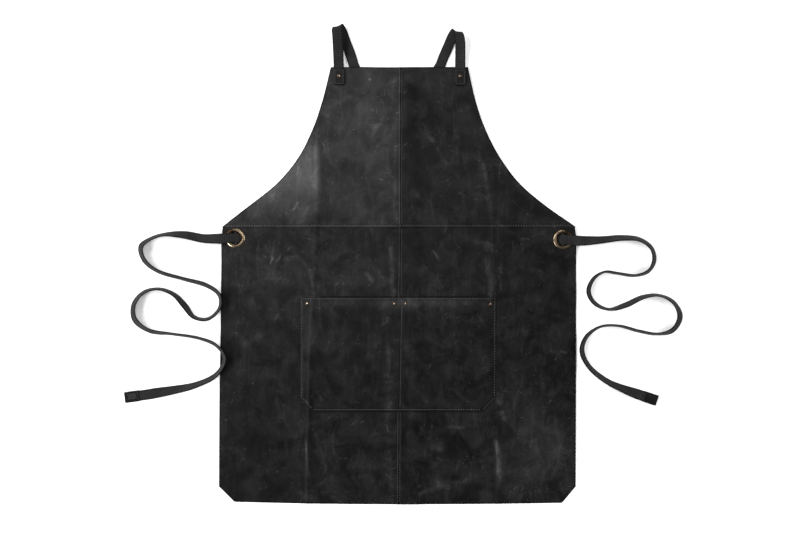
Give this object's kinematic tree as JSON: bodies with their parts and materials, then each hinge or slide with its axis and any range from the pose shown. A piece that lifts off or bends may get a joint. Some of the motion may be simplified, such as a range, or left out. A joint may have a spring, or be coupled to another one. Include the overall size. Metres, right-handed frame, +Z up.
{
  "type": "leather apron",
  "caption": "Cross-back work apron of waxed black leather lying flat, with a bib, a divided front pocket, riveted shoulder straps crossing behind and running through side eyelets as ties.",
  "frame": {"origin": "under the middle of the leather, on the surface the apron lies on", "axes": "+X towards the right of the picture, +Y from the hem to the bib's top, +Z up out of the leather's face"},
  "size_m": [1.0886, 0.9338, 0.0225],
  "materials": {
    "leather_black": "waxed, scuffed",
    "leather_trim": "waxed, smooth",
    "webbing_black": "ribbed cotton, matt",
    "rivet_copper": "polished copper plate",
    "eyelet_brass": "antique brass"
  },
  "bodies": {
    "root": {"bib_left": "leather_black", "bib_right": "leather_black", "skirt_left": "leather_black", "skirt_right": "leather_black", "pocket": "leather_black", "strap_left": "webbing_black", "strap_right": "webbing_black", "strap_tip_left": "leather_trim", "strap_tip_right": "leather_trim", "strap_tab_left": "leather_trim", "strap_tab_right": "leather_trim", "tab_rivet_left": "rivet_copper", "tab_rivet_right": "rivet_copper", "pocket_rivet_outer_left": "rivet_copper", "pocket_rivet_inner_left": "rivet_copper", "pocket_rivet_inner_right": "rivet_copper", "pocket_rivet_outer_right": "rivet_copper", "eyelet_left": "eyelet_brass", "eyelet_right": "eyelet_brass"}
  },
  "joints": []
}
